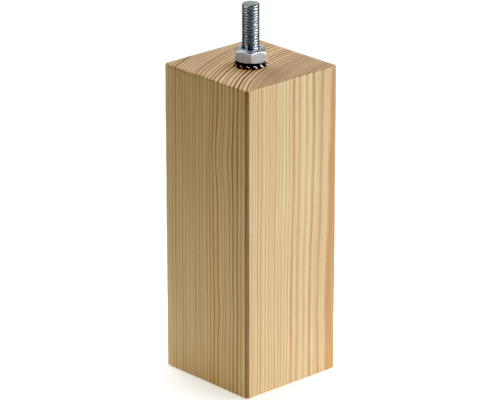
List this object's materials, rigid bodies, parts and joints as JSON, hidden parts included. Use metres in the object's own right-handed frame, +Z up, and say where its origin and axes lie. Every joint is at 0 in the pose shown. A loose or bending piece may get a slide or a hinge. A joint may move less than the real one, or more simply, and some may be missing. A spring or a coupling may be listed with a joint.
{
  "type": "wooden furniture leg",
  "caption": "Square solid-pine furniture leg with eased edges; a threaded stud with a hex nut and a toothed lock washer stands on its top for bolting it to a frame.",
  "frame": {"origin": "centre of the foot, on the surface that the leg stands on", "axes": "+Z up along the bolt's axis; X and Y across the block's flat sides"},
  "size_m": [0.068, 0.068, 0.215],
  "materials": {
    "pine": "planed and sanded, no varnish",
    "zinc_steel": "bright zinc plating",
    "washer_steel": "dark hardened spring steel"
  },
  "bodies": {
    "root": {"leg_block": "pine", "hanger_bolt": "zinc_steel", "tooth_lock_washer": "washer_steel", "hex_nut": "zinc_steel"}
  },
  "joints": []
}
